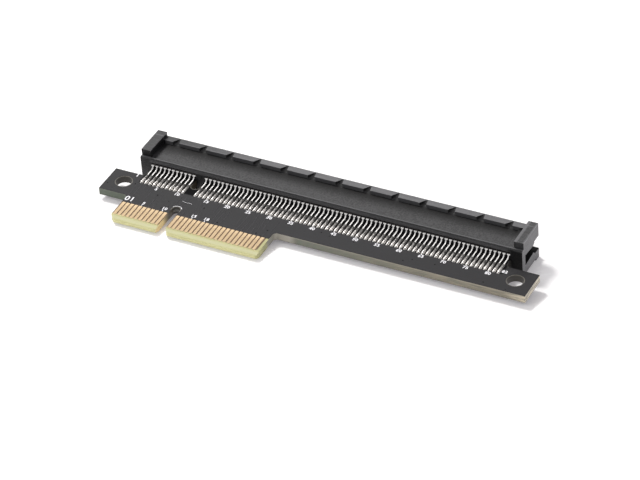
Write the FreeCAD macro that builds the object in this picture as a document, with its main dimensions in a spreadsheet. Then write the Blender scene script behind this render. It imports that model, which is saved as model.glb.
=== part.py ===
"""PCIe riser card: a short four-lane edge board with a sixteen-lane slot connector on its back edge.

The board lies flat. The origin is midway between the two mounting holes, at half the board's
thickness. +X runs along the connector, +Y from the edge fingers to the slot mouth, +Z up.
Everything on the underside repeats the upper side about the plane Z = 0.
"""
import FreeCAD, Part
import math
import os
import re
import Sketcher

Vector = FreeCAD.Vector

# name, value in millimetres, degrees or a count, and what it sets
DRIVING = [
    ("board_thickness", "1.6", "laminate thickness"),
    ("board_front", "4.04", "hole line to the front long edge"),
    ("board_back", "3.5", "hole line to the back edge of the end tabs"),
    ("left_tab", "4.6", "board beyond the connector, left end"),
    ("right_tab", "5.1", "board beyond the connector, right end"),
    ("hole_margin", "3.85", "mounting hole's centre to the end of the board"),
    ("hole_diameter", "3.6", "mounting holes"),
    ("mask_ring", "0.15", "bare laminate round each mounting hole"),
    ("mask_thickness", "0.05", "solder mask"),
    ("mask_margin", "0.1", "bare laminate along the outer sides of the two tongues"),
    ("key_width", "1.9", "keyway in the edge fingers"),
    ("key_depth", "8.35", "keyway, from the tip of the fingers"),
    ("key_span", "3", "contacts either side of the keyway, centre to centre"),
    ("contact_pitch", "1", "contact and finger pitch"),
    ("power_count", "11", "contacts before the keyway"),
    ("lane_0_count", "7", "contacts of the first lane, beyond the keyway"),
    ("lanes_1_to_3_count", "14", "contacts of the next three lanes, where the edge fingers end"),
    ("lanes_4_to_7_count", "17", "contacts of the next four lanes, in the slot only"),
    ("lanes_8_to_15_count", "33", "contacts of the last eight lanes, in the slot only"),
    ("finger_line", "10.87", "hole line to the outer end of the fingers"),
    ("finger_length", "4.46", "gold finger"),
    ("finger_width", "0.7", "gold finger"),
    ("finger_thickness", "0.05", "gold finger"),
    ("bevel_length", "1.3", "tip bevel, beyond the fingers"),
    ("bevel_angle", "20", "tip bevel, from the board's face"),
    ("lead_corner", "1.1", "left corner of the first finger block, cut off in plan"),
    ("key_corner", "0.7", "corner of the second block at the keyway's mouth, across the board"),
    ("key_corner_depth", "1.1", "corner of the second block at the keyway's mouth, along the keyway"),
    ("trail_corner", "0.35", "right corner of the second finger block, cut off in plan"),
    ("edge_margin_left", "0.6", "first finger's centre to the side of the block"),
    ("edge_margin_right", "1.35", "last finger's centre to the side of the block"),
    ("inner_corner", "1", "radius of the laminate's inner corners"),
    ("tongue_margin", "0.55", "end contact's centre to the side of the board's tongue"),
    ("tongue_relief", "0.4", "bottom of the gap between the tongues, inside the back edge"),
    ("board_gap", "0.25", "board's tongue to the connector's front face"),
    ("housing_front", "6.35", "hole line to the connector's front face"),
    ("housing_depth", "8.3", "connector, front face to mouth"),
    ("end_margin", "3", "end contact's centre to the end face"),
    ("deck_half", "3.3", "connector's half thickness over the deck"),
    ("rim_half", "3.8", "half thickness over the rim of the mouth"),
    ("ridge_chamfer", "0.25", "edge between front face and deck"),
    ("recess_depth", "0.4", "sunk deck between the ridge and the pads"),
    ("recess_front", "0.5", "connector's front face to the sunk deck"),
    ("recess_margin", "1.4", "right end post's inner side to the sunk deck, which starts at the left post"),
    ("pad_depth", "1.6", "raised pads, front to the mouth"),
    ("pad_pitch", "6.5", "raised pads along the rim"),
    ("pad_gap_count", "13", "gaps between the pads"),
    ("gap_front", "1.6", "gap between two pads at their front"),
    ("gap_back", "0.25", "gap between two pads at the rim"),
    ("gap_skew", "0.4", "front of a gap, set off from its back along the rim"),
    ("rim_width", "0.2", "unbroken rim behind the gaps"),
    ("post_width", "2.15", "end posts, along the connector"),
    ("post_half", "4.75", "mid-plane to the top of the end posts"),
    ("post_setback", "0.8", "front face to the front of the end posts"),
    ("slot_half", "0.875", "half the slot's clear height"),
    ("web_thickness", "1.8", "wall between front face and slot"),
    ("relief_half", "1.25", "half the slot's height at its front end, where it leaves the end faces"),
    ("relief_depth", "0.3", "slot's front end at the end faces, in front of the slot's floor"),
    ("relief_length", "1.8", "taller ends of the slot, from the end faces"),
    ("mouth_half", "1.6", "half the mouth's height"),
    ("mouth_depth", "2.2", "mouth, from the rim"),
    ("lead_in", "0.45", "chamfer from the mouth into the slot"),
    ("key_rib", "1.6", "key wall in the slot"),
    ("groove_half", "2.3", "mid-plane to the roof of the contact grooves"),
    ("contact_width", "0.46", "contact strip"),
    ("contact_thickness", "0.2", "contact strip"),
    ("contact_clearance", "0.04", "contact in its groove, each side"),
    ("foot_start", "1.07", "hole line to the tip of the contact feet"),
    ("foot_end", "4.9", "hole line to the heel of the contact feet"),
    ("rise_end", "5.75", "hole line to the top of the contact's rise"),
    ("bend_shift", "0.12", "set-back that keeps the strip's thickness on the rise"),
    ("beam_half", "0.55", "half the gap between opposite contact points"),
    ("beam_reach", "5.5", "front face to the contact point"),
]

# name and formula
DERIVED = [
    ("board_half", "board_thickness / 2"),
    ("mask_face", "board_half + mask_thickness"),
    ("mask_corner", "inner_corner * 0.58"),
    ("edge_lane_count", "lane_0_count + lanes_1_to_3_count"),
    ("slot_lane_count", "edge_lane_count + lanes_4_to_7_count + lanes_8_to_15_count"),
    ("contact_run", "(power_count + slot_lane_count - 2) * contact_pitch + key_span"),
    ("housing_length", "contact_run + 2 * end_margin"),
    ("board_end", "(left_tab + housing_length + right_tab) / 2"),
    ("hole_place", "board_end - hole_margin"),
    ("slot_left", "left_tab + end_margin - board_end"),
    ("slot_right", "slot_left + contact_run"),
    ("left_first", "slot_left + (power_count - 1) * contact_pitch"),
    ("right_first", "left_first + key_span"),
    ("key_place", "left_first + key_span / 2"),
    ("tip_line", "-(finger_line + bevel_length)"),
    ("finger_inner", "finger_length - finger_line"),
    ("edge_left", "slot_left - edge_margin_left"),
    ("edge_right", "right_first + (edge_lane_count - 1) * contact_pitch + edge_margin_right"),
    ("tongue_left", "slot_left - tongue_margin"),
    ("tongue_right", "slot_right + tongue_margin"),
    ("tongue_end", "housing_front - board_gap"),
    ("housing_centre", "(slot_right + slot_left) / 2"),
    ("housing_back", "housing_front + housing_depth"),
    ("mouth_floor", "housing_back - mouth_depth"),
    ("slot_floor", "housing_front + web_thickness"),
    ("pad_front", "housing_back - pad_depth"),
    ("recess_floor", "deck_half - recess_depth"),
    ("key_right", "key_place + key_width / 2"),
    ("contact_roof", "groove_half - contact_clearance"),
    ("beam_end", "housing_front + beam_reach"),
    ("groove_end", "mouth_floor - lead_in"),
]

# contact banks along the slot: name, the contact nearest to the keyway, and the way that the rest follow
SLOT_BANKS = [
    ("power", "left_first", -1),
    ("lane_0", "right_first", 1),
    ("lanes_1_to_3", "right_first + lane_0_count * contact_pitch", 1),
    ("lanes_4_to_7", "right_first + edge_lane_count * contact_pitch", 1),
    ("lanes_8_to_15", "right_first + (edge_lane_count + lanes_4_to_7_count) * contact_pitch", 1),
]
EDGE_BANKS = SLOT_BANKS[:3]
SIDES = [("upper", 1), ("lower", -1)]
OVERCUT = 1.0

document = FreeCAD.newDocument("riser_card")
sheet = document.addObject("Spreadsheet::Sheet", "Dimensions")


def fill_sheet():
    """Write the driving sizes and the formulas that follow from them, one row each."""
    row = 1
    for name, size, meaning in DRIVING:
        sheet.set("A%d" % row, name)
        sheet.set("B%d" % row, size)
        sheet.setAlias("B%d" % row, name)
        sheet.set("C%d" % row, meaning)
        row += 1
    for name, formula in DERIVED:
        sheet.set("A%d" % row, name)
        sheet.set("B%d" % row, "=" + formula)
        sheet.setAlias("B%d" % row, name)
        row += 1
    document.recompute()


ALIASES = {row[0] for row in DRIVING} | {row[0] for row in DERIVED}


def bound(formula):
    """The formula with every sheet name in it written as a reference to the sheet."""
    return re.sub(r"[a-z]\w*", lambda word: "Dimensions." + word.group(0)
                  if word.group(0) in ALIASES else word.group(0), formula)


def value(formula):
    """The formula's present value."""
    return float(sheet.evalExpression(formula))


def new_body(name):
    body = document.addObject("PartDesign::Body", name)
    body.Label = name
    return body


def origin_part(body, role):
    """One of the body's own origin planes or axes."""
    return [item for item in body.Origin.OriginFeatures if item.Role == role][0]


def attach(item, body, role, offset):
    """Attach a sketch or primitive to an origin plane, offset along the plane's normal."""
    item.AttachmentSupport = (origin_part(body, role), [""])
    item.MapMode = "FlatFace"
    if offset is not None:
        item.AttachmentOffset = FreeCAD.Placement(Vector(0, 0, value(offset)), FreeCAD.Rotation())
        item.setExpression("AttachmentOffset.Base.z", bound(offset))


def place_point(sketch, geometry, end, across, up):
    """Fix one sketch point at two sheet formulas, measured from the sketch's origin."""
    for kind, formula in (("DistanceX", across), ("DistanceY", up)):
        index = sketch.addConstraint(Sketcher.Constraint(kind, -1, 1, geometry, end, value(formula)))
        sketch.setExpression("Constraints[%d]" % index, bound(formula))


def outline_sketch(body, name, role, offset, loops):
    """A sketch of closed outlines. Each corner is a pair of sheet formulas."""
    sketch = body.newObject("Sketcher::SketchObject", name)
    attach(sketch, body, role, offset)
    for corners in loops:
        points = [Vector(value(across), value(up), 0) for across, up in corners]
        first = sketch.GeometryCount
        count = len(points)
        for i in range(count):
            sketch.addGeometry(Part.LineSegment(points[i], points[(i + 1) % count]), False)
        for i in range(count):
            sketch.addConstraint(
                Sketcher.Constraint("Coincident", first + i, 2, first + (i + 1) % count, 1))
            place_point(sketch, first + i, 1, *corners[i])
    return sketch


def circle_sketch(body, name, offset, centres, radius):
    """A sketch of equal circles on the body's XY plane."""
    sketch = body.newObject("Sketcher::SketchObject", name)
    attach(sketch, body, "XY_Plane", offset)
    for across, up in centres:
        centre = Vector(value(across), value(up), 0)
        index = sketch.addGeometry(Part.Circle(centre, Vector(0, 0, 1), value(radius)), False)
        place_point(sketch, index, 3, across, up)
        size = sketch.addConstraint(Sketcher.Constraint("Radius", index, value(radius)))
        sketch.setExpression("Constraints[%d]" % size, bound(radius))
    return sketch


def round_slot_sketch(body, name, offset, centre, width, mouth, bottom):
    """A slot in the XY plane: straight sides from the mouth to a half circle that ends at bottom.

    The slot runs along Y, and mouth and bottom are the two ends of its length.
    """
    sketch = body.newObject("Sketcher::SketchObject", name)
    attach(sketch, body, "XY_Plane", offset)
    towards = 1 if value(bottom) > value(mouth) else -1
    turn = "(%s) - %d * (%s) / 2" % (bottom, towards, width)
    left = "(%s) - (%s) / 2" % (centre, width)
    right = "(%s) + (%s) / 2" % (centre, width)
    corner = [Vector(value(a), value(b), 0) for a, b in
              ((left, turn), (left, mouth), (right, mouth), (right, turn))]
    sketch.addGeometry(Part.LineSegment(corner[0], corner[1]), False)
    sketch.addGeometry(Part.LineSegment(corner[1], corner[2]), False)
    sketch.addGeometry(Part.LineSegment(corner[2], corner[3]), False)
    circle = Part.Circle(Vector(value(centre), value(turn), 0), Vector(0, 0, 1), value(width) / 2)
    sweep = (0, math.pi) if towards > 0 else (math.pi, 2 * math.pi)
    sketch.addGeometry(Part.ArcOfCircle(circle, *sweep), False)
    ends = (1, 2) if towards > 0 else (2, 1)
    sketch.addConstraint(Sketcher.Constraint("Coincident", 0, 2, 1, 1))
    sketch.addConstraint(Sketcher.Constraint("Coincident", 1, 2, 2, 1))
    sketch.addConstraint(Sketcher.Constraint("Coincident", 2, 2, 3, ends[0]))
    sketch.addConstraint(Sketcher.Constraint("Coincident", 3, ends[1], 0, 1))
    place_point(sketch, 0, 1, left, turn)
    place_point(sketch, 1, 1, left, mouth)
    place_point(sketch, 2, 1, right, mouth)
    place_point(sketch, 3, 3, centre, turn)
    height = sketch.addConstraint(Sketcher.Constraint("DistanceY", -1, 1, 2, 2, value(turn)))
    sketch.setExpression("Constraints[%d]" % height, bound(turn))
    return sketch


def pad(body, sketch, name, length, midplane=False):
    feature = body.newObject("PartDesign::Pad", name)
    feature.Profile = sketch
    feature.setExpression("Length", bound(length))
    feature.Midplane = midplane
    document.recompute()
    return feature


def pocket(body, sketch, name, length, midplane=True):
    """Cut the sketch through the body, and make sure that it took material away."""
    before = body.Shape.Volume
    feature = body.newObject("PartDesign::Pocket", name)
    feature.Profile = sketch
    feature.setExpression("Length", bound(length))
    feature.Midplane = midplane
    document.recompute()
    if not body.Shape.Volume < before:
        raise RuntimeError("%s cuts nothing" % name)
    return feature


def row_pattern(body, original, name, count, pitch, direction=1):
    """Repeat a feature along X, or against it where direction is -1."""
    pattern = body.newObject("PartDesign::LinearPattern", name)
    pattern.Originals = [original]
    pattern.Direction = (origin_part(body, "X_Axis"), [""])
    pattern.Reversed = direction < 0
    pattern.Mode = "Spacing"
    pattern.setExpression("Offset", bound(pitch))
    pattern.setExpression("Occurrences", bound(count))
    body.Tip = pattern
    document.recompute()
    return pattern


def cut_corner(across, up, before, after, size):
    """An inner corner cut off by a straight line. before and after are unit steps (x, y) to its ends."""
    return [("%s + (%d) * %s" % (across, step[0], size), "%s + (%d) * %s" % (up, step[1], size))
            for step in (before, after)]


def board_outline(block_front, tongue_left, tongue_right, inner=None):
    """Corners of the board in plan, counterclockwise from the left end.

    block_front holds the finger blocks' front corners. The next two are the tongues' outer sides.
    Where inner is given, the four inner corners are cut off by that size.
    """
    if inner is None:
        corners = [[("edge_left", "-board_front")], [("edge_right", "-board_front")],
                   [(tongue_right, "board_back")], [(tongue_left, "board_back")]]
    else:
        corners = [cut_corner("edge_left", "-board_front", (-1, 0), (0, -1), inner),
                   cut_corner("edge_right", "-board_front", (0, -1), (1, 0), inner),
                   cut_corner(tongue_right, "board_back", (1, 0), (0, 1), inner),
                   cut_corner(tongue_left, "board_back", (0, 1), (-1, 0), inner)]
    return (
        [("-board_end", "-board_front")] + corners[0] + block_front + corners[1]
        + [("board_end", "-board_front"), ("board_end", "board_back")] + corners[2]
        + [(tongue_right, "tongue_end"), (tongue_left, "tongue_end")] + corners[3]
        + [("-board_end", "board_back")]
    )


def keyways(body, offset, depth):
    """The keyway between the finger blocks and the gap between the two tongues."""
    front = round_slot_sketch(body, body.Label + "_keyway_sketch", offset, "key_place", "key_width",
                              "tip_line - %g" % OVERCUT, "tip_line + key_depth")
    pocket(body, front, body.Label + "_keyway", depth)
    back = round_slot_sketch(body, body.Label + "_tongue_gap_sketch", offset, "key_place", "key_width",
                             "tongue_end + %g" % OVERCUT, "board_back - tongue_relief")
    pocket(body, back, body.Label + "_tongue_gap", depth)


def mounting_holes(body, offset, radius, depth):
    centres = [("-hole_place", "0"), ("hole_place", "0")]
    sketch = circle_sketch(body, body.Label + "_holes_sketch", offset, centres, radius)
    pocket(body, sketch, body.Label + "_holes", depth)


def upright_edges(shape, places):
    """Names of the edges parallel to Z that stand at the given places in plan."""
    names = []
    for number, edge in enumerate(shape.Edges, 1):
        ends = [vertex.Point for vertex in edge.Vertexes]
        if len(ends) != 2 or abs(ends[0].x - ends[1].x) > 1e-6 or abs(ends[0].y - ends[1].y) > 1e-6:
            continue
        if any(abs(ends[0].x - x) < 1e-4 and abs(ends[0].y - y) < 1e-4 for x, y in places):
            names.append("Edge%d" % number)
    return names


def make_laminate():
    """The bare board: strip, finger blocks, tongues, keyway, holes and bevelled tips."""
    body = new_body("board_laminate")
    block_front = [("edge_left", "tip_line + lead_corner"), ("edge_left + lead_corner", "tip_line"),
                   ("edge_right - trail_corner", "tip_line"), ("edge_right", "tip_line + trail_corner")]
    sketch = outline_sketch(body, "laminate_outline", "XY_Plane", None,
                            [board_outline(block_front, "tongue_left", "tongue_right")])
    blank = pad(body, sketch, "laminate_blank", "board_thickness", midplane=True)

    corners = [("edge_left", "-board_front"), ("edge_right", "-board_front"),
               ("tongue_left", "board_back"), ("tongue_right", "board_back")]
    places = [(value(across), value(up)) for across, up in corners]
    rounding = body.newObject("PartDesign::Fillet", "laminate_inner_corners")
    rounding.Base = (blank, upright_edges(blank.Shape, places))
    rounding.setExpression("Radius", bound("inner_corner"))
    document.recompute()

    keyways(body, None, "2 * board_thickness")
    mouth = outline_sketch(body, "key_corner_sketch", "XY_Plane", None,
                           [[("key_place", "tip_line + key_corner_depth"),
                             ("key_right", "tip_line + key_corner_depth"),
                             ("key_right + key_corner", "tip_line"),
                             ("key_right + key_corner", "tip_line - %g" % OVERCUT),
                             ("key_place", "tip_line - %g" % OVERCUT)]])
    pocket(body, mouth, "key_corner_cut", "2 * board_thickness")
    mounting_holes(body, None, "hole_diameter / 2", "2 * board_thickness")

    drop = "(bevel_length * tan(bevel_angle * 1deg))"
    loops = []
    for sign in ("", "-"):
        face = "%s(board_half)" % sign
        beyond = "%s(board_half + bevel_length)" % sign
        tip = "%s(board_half - %s)" % (sign, drop)
        loops.append([("tip_line", tip), ("-finger_line", face), ("-finger_line", beyond),
                      ("tip_line - %g" % OVERCUT, beyond), ("tip_line - %g" % OVERCUT, tip)])
    bevel = outline_sketch(body, "tip_bevel_sketch", "YZ_Plane", None, loops)
    pocket(body, bevel, "tip_bevels", "3 * board_end")
    return body


def make_mask(side, sign):
    """Solder mask on one face: everything but the finger blocks' fronts and a ring at each hole."""
    body = new_body("solder_mask_" + side)
    middle = "%d * (board_half + mask_thickness / 2)" % sign
    block_front = [("edge_left", "finger_inner"), ("edge_right", "finger_inner")]
    outline = board_outline(block_front, "tongue_left + mask_margin", "tongue_right - mask_margin",
                            "mask_corner")
    sketch = outline_sketch(body, body.Label + "_outline", "XY_Plane", middle, [outline])
    pad(body, sketch, body.Label + "_sheet", "mask_thickness", midplane=True)
    keyways(body, middle, "2 * mask_thickness")
    mounting_holes(body, middle, "hole_diameter / 2 + mask_ring", "2 * mask_thickness")
    return body


def make_fingers(side, sign, bank, start, direction):
    """One bank of gold fingers on one face of the edge blocks."""
    body = new_body("gold_fingers_%s_%s" % (side, bank))
    middle = "%d * (board_half + finger_thickness / 2)" % sign
    half = "finger_width / 2"
    corners = [("%s - %s" % (start, half), "-finger_line"), ("%s + %s" % (start, half), "-finger_line"),
               ("%s + %s" % (start, half), "finger_inner"), ("%s - %s" % (start, half), "finger_inner")]
    sketch = outline_sketch(body, body.Label + "_outline", "XY_Plane", middle, [corners])
    finger = pad(body, sketch, body.Label + "_finger", "finger_thickness", midplane=True)
    row_pattern(body, finger, body.Label + "_row", bank + "_count", "contact_pitch", direction)
    return body


def contact_profile(sign):
    """Side view of one contact: foot on the board, rise, and spring beam into the slot."""
    lower = [("foot_start", "mask_face"), ("foot_end", "mask_face"),
             ("rise_end", "contact_roof - contact_thickness"), ("beam_end", "beam_half")]
    upper = [("beam_end", "beam_half + contact_thickness"), ("rise_end - bend_shift", "contact_roof"),
             ("foot_end - bend_shift", "mask_face + contact_thickness"),
             ("foot_start", "mask_face + contact_thickness")]
    return [(along, "%d * (%s)" % (sign, height)) for along, height in lower + upper]


def make_contacts(side, sign, bank, start, direction):
    """One bank of contacts in one row. Each contact is a formed strip, soldered by its foot."""
    body = new_body("contacts_%s_%s" % (side, bank))
    sketch = outline_sketch(body, body.Label + "_profile", "YZ_Plane", start, [contact_profile(sign)])
    strip = pad(body, sketch, body.Label + "_strip", "contact_width", midplane=True)
    row_pattern(body, strip, body.Label + "_row", bank + "_count", "contact_pitch", direction)
    return body


def housing_profile():
    """Side view of the connector: two jaws on a web, deck, raised rim, mouth and slot."""
    upper = [
        ("housing_front", "deck_half - ridge_chamfer"),
        ("housing_front + ridge_chamfer", "deck_half"),
        ("pad_front", "deck_half"),
        ("pad_front", "rim_half"),
        ("housing_back", "rim_half"),
        ("housing_back", "mouth_half"),
        ("mouth_floor", "mouth_half"),
        ("mouth_floor", "slot_half + lead_in"),
        ("mouth_floor - lead_in", "slot_half"),
        ("slot_floor", "slot_half"),
    ]
    lower = [(along, "-(%s)" % height) for along, height in reversed(upper)]
    return upper + lower


def add_end_post(body, name, place):
    """A raised bar along one end of the upper jaw."""
    foot = "deck_half - ridge_chamfer"
    front = "housing_front + post_setback"
    corners = [(front, foot), ("housing_back", foot), ("housing_back", "post_half"), (front, "post_half")]
    sketch = outline_sketch(body, name + "_sketch", "YZ_Plane", place, [corners])
    pad(body, sketch, name, "post_width", midplane=True)


def add_recesses(body):
    """Sink the deck of both jaws between the ridge and the pads, from the left post's inner side on."""
    loops = []
    for sign in ("", "-"):
        over = "%s(rim_half + %g)" % (sign, OVERCUT)
        floor = "%s(recess_floor)" % sign
        front = "housing_front + recess_front"
        loops.append([(front, floor), ("pad_front", floor), ("pad_front", over), (front, over)])
    sketch = outline_sketch(body, "recess_sketch", "YZ_Plane", "housing_centre - recess_margin / 2", loops)
    pocket(body, sketch, "recesses", "housing_length - 2 * post_width - recess_margin")


def add_slot_reliefs(body):
    """Make the slot taller where it leaves the end faces, tapered to its own height at the lead-in."""
    front = "slot_floor - relief_depth"
    corners = [(front, "-relief_half"), ("groove_end", "-slot_half"), ("groove_end", "slot_half"),
               (front, "relief_half")]
    for name, sign in (("left", "-"), ("right", "+")):
        sketch = outline_sketch(body, name + "_relief_sketch", "YZ_Plane",
                                "housing_centre %s housing_length / 2" % sign, [corners])
        pocket(body, sketch, name + "_relief", "2 * relief_length")


def add_pad_gaps(body, name, sign):
    """Flared, skewed gaps between the raised pads, each with a floor that climbs to the rim."""
    wedge = body.newObject("PartDesign::SubtractiveWedge", name)
    wedge.AttachmentSupport = (origin_part(body, "XY_Plane"), [""])
    wedge.MapMode = "FlatFace"
    wedge.setExpression("AttachmentOffset.Base.x",
                        bound("housing_centre - (pad_gap_count - 1) / 2 * pad_pitch"))
    over = "rim_half + %g" % OVERCUT
    low, high = ("recess_floor", over) if sign > 0 else ("-(%s)" % over, "-recess_floor")
    back_low, back_high = ("rim_half", over) if sign > 0 else ("-(%s)" % over, "-rim_half")
    for name_of_size, formula in (
            ("Xmin", "-gap_front / 2 - gap_skew"), ("Xmax", "gap_front / 2 - gap_skew"),
            ("X2min", "-gap_back / 2"), ("X2max", "gap_back / 2"),
            ("Ymin", "pad_front"), ("Ymax", "housing_back - rim_width"),
            ("Zmin", low), ("Zmax", high), ("Z2min", back_low), ("Z2max", back_high)):
        setattr(wedge, name_of_size, value(formula))
        wedge.setExpression(name_of_size, bound(formula))
    document.recompute()
    row_pattern(body, wedge, name + "_row", "pad_gap_count", "pad_pitch")


def add_grooves(body, name, start, count, direction):
    """Contact grooves in both jaws, open to the slot, from the front face to the slot's lead-in."""
    loops = []
    for sign in ("", "-"):
        loops.append([("housing_front - %g" % OVERCUT, "%s(slot_half)" % sign),
                      ("groove_end", "%s(slot_half)" % sign),
                      ("groove_end", "%s(groove_half)" % sign),
                      ("housing_front - %g" % OVERCUT, "%s(groove_half)" % sign)])
    sketch = outline_sketch(body, name + "_sketch", "YZ_Plane", start, loops)
    groove = pocket(body, sketch, name, "contact_width + 2 * contact_clearance")
    row_pattern(body, groove, name + "_row", count, "contact_pitch", direction)


def make_housing():
    """The connector's moulding, in one piece."""
    body = new_body("connector_housing")
    profile = outline_sketch(body, "housing_profile", "YZ_Plane", "housing_centre", [housing_profile()])
    pad(body, profile, "housing_bar", "housing_length", midplane=True)
    add_end_post(body, "left_post", "housing_centre - housing_length / 2 + post_width / 2")
    add_end_post(body, "right_post", "housing_centre + housing_length / 2 - post_width / 2")
    add_recesses(body)
    add_pad_gaps(body, "upper_pad_gap", 1)
    add_pad_gaps(body, "lower_pad_gap", -1)
    rib = outline_sketch(body, "key_rib_sketch", "YZ_Plane", "key_place",
                         [[("slot_floor", "-slot_half"), ("mouth_floor - lead_in", "-slot_half"),
                           ("mouth_floor - lead_in", "slot_half"), ("slot_floor", "slot_half")]])
    pad(body, rib, "key_rib_wall", "key_rib", midplane=True)
    add_slot_reliefs(body)
    add_grooves(body, "power_groove", "left_first", "power_count", -1)
    add_grooves(body, "lane_groove", "right_first", "slot_lane_count", 1)
    return body


def check(bodies):
    """Stop if anything in the document failed, or a sub-part has no sound solid."""
    for item in document.Objects:
        if "Invalid" in item.State or "Error" in item.State:
            raise RuntimeError("%s failed: %s" % (item.Label, item.State))
    for body in bodies:
        shape = body.Shape
        if shape.isNull() or not shape.isValid() or not shape.Solids:
            raise RuntimeError("%s has no sound solid" % body.Label)


def main():
    fill_sheet()
    bodies = [make_laminate(), make_housing()]
    for side, sign in SIDES:
        bodies.append(make_mask(side, sign))
        for bank, start, direction in EDGE_BANKS:
            bodies.append(make_fingers(side, sign, bank, start, direction))
        for bank, start, direction in SLOT_BANKS:
            bodies.append(make_contacts(side, sign, bank, start, direction))
    document.recompute()
    check(bodies)
    os.makedirs("parts", exist_ok=True)
    for body in bodies:
        body.Shape.exportStep("parts/%s.step" % body.Label)


main()
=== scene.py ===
"""Riser card: finishes, formed contacts, solder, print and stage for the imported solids.

All lengths are in metres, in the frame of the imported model: +X along the connector, +Y towards the
slot mouth, +Z up, the origin midway between the two mounting holes at half the board's thickness.
"""
import math

import bpy
import numpy as np
from bpy.props import FloatProperty, FloatVectorProperty, PointerProperty
from mathutils import Matrix, Vector


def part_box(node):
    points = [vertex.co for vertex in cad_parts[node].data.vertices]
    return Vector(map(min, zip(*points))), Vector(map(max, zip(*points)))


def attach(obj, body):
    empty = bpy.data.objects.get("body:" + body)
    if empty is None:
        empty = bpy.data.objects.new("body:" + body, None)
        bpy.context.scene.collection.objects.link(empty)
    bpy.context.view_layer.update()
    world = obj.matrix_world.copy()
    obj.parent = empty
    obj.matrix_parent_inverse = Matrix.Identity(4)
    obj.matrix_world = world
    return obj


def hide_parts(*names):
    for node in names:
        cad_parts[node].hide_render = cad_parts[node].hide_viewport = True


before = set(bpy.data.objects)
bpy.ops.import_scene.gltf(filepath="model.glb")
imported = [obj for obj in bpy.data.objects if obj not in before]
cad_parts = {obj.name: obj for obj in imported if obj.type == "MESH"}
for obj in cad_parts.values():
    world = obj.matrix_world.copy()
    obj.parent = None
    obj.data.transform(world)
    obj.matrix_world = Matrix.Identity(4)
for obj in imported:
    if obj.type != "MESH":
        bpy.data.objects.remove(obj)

bl_info = {
    "name": "Riser Card",
    "version": (1, 0, 0),
    "blender": (4, 5, 0),
    "location": "3D View > Sidebar > Riser Card",
    "description": "Dresses the packed riser card: contacts, solder, printed numbers, finishes and stage",
    "category": "Object",
}

MM = 0.001
SIDES = {"upper": 1.0, "lower": -1.0}
SLOT_BANKS = ("power", "lane_0", "lanes_1_to_3", "lanes_4_to_7", "lanes_8_to_15")
EDGE_BANKS = SLOT_BANKS[:3]
BODY = "root"
ARC_STEPS = 7
NUMBERED_PINS = range(5, 81, 5)
NUMBERED_FINGERS = (5, 10, 15, 18)

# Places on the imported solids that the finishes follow, in millimetres: the holes, the round ends of
# the keyway and of the gap between the tongues, the heights that part the connector's deck, pads and
# posts, and the inner sides of its posts.
HOLE_X, HOLE_RADIUS = 45.5, 1.8
NOTCH_X, NOTCH_Y, NOTCH_RADIUS = -30.25, -4.77, 0.95
TONGUE_GAP_Y = 4.05
DECK_BELOW, PADS_ABOVE, POSTS_ABOVE = 3.5, 3.65, 3.9
POST_X = 42.0

# Linear colours with alpha, as the world and the floor take them.
WHITE = (1.0, 1.0, 1.0, 1.0)
SKY_TONE = (1.0, 0.972, 1.0, 1.0)
GLOW_TONE = (1.0, 0.96, 0.99, 1.0)

# Each lamp's place, size, power in the stage settings, and colour. All point at the origin.
LAMPS = {
    "key_lamp": ((-0.74, 0.45, 1.11), 0.32, "key", (1.0, 0.985, 0.965)),
    "front_lamp": ((-0.36, -0.54, 0.62), 0.65, "front", (1.0, 1.0, 1.0)),
    "back_lamp": ((-0.52, 0.95, 0.70), 0.62, "back", (1.0, 1.0, 1.0)),
    "fill_lamp": ((0.95, -0.6, 0.7), 0.8, "fill", (0.96, 0.98, 1.0)),
}


def length(name, description, default):
    """A length property in metres, written from a default in millimetres."""
    return FloatProperty(name=name, description=description, default=default * MM, min=0.0,
                         precision=5, unit="LENGTH", subtype="DISTANCE")


def colour(name, description, default):
    """A linear colour property."""
    return FloatVectorProperty(name=name, description=description, default=default, size=3,
                               min=0.0, max=1.0, subtype="COLOR")


class ContactSizes(bpy.types.PropertyGroup):
    """Sizes of one formed contact strip."""
    width: length("Width", "Strip width inside the connector", 0.46)
    foot_width: length("Foot width", "Strip width of the soldered foot", 0.36)
    neck: length("Neck", "Strip width of the rise", 0.26)
    shoulder: length("Shoulder", "Width of the stop shoulders in front of the connector", 0.67)
    shoulder_length: length("Shoulder length", "Shoulders along the strip", 0.17)
    waist: length("Waist", "Narrow run of the strip inside the connector's face", 0.5)
    taper: length("Taper", "Run over which the shoulders narrow to the neck", 0.16)
    thickness: length("Thickness", "Strip thickness", 0.18)
    pitch: length("Pitch", "Spacing of the contacts in a row", 1.0)
    foot: length("Foot", "From the foot's tip to the foot of the rise", 5.02)
    standoff: length("Standoff", "Gap between the connector and the middle of the rise", 0.14)
    drop: length("Drop", "Exit from the connector under the groove's roof", 0.38)
    entry: length("Entry", "Straight length through the connector's wall", 2.0)
    hook: length("Hook", "Lift of the lead-in tip beyond the contact point", 0.32)
    lead_in: FloatProperty(name="Lead-in", description="Run of the lead-in tip, as a number of lifts",
                           default=2.2, min=0.0)
    bend: length("Bend", "Radius of the bends", 0.12)
    sweep: length("Sweep", "Radius of the wide bend from the foot to the rise", 0.8)


class SolderSizes(bpy.types.PropertyGroup):
    """Sizes of one solder joint."""
    width: length("Width", "Width of the land", 0.67)
    overhang: length("Overhang", "Land in front of the foot's tip", 0.26)
    toe: length("Toe", "Length of the raised joint at the tip", 1.45)
    height: length("Height", "Height of the joint at the tip, over the mask", 0.36)
    length: length("Length", "Length of the whole joint", 3.2)
    back_height: length("Back height", "Height of the joint behind its toe", 0.26)


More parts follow.
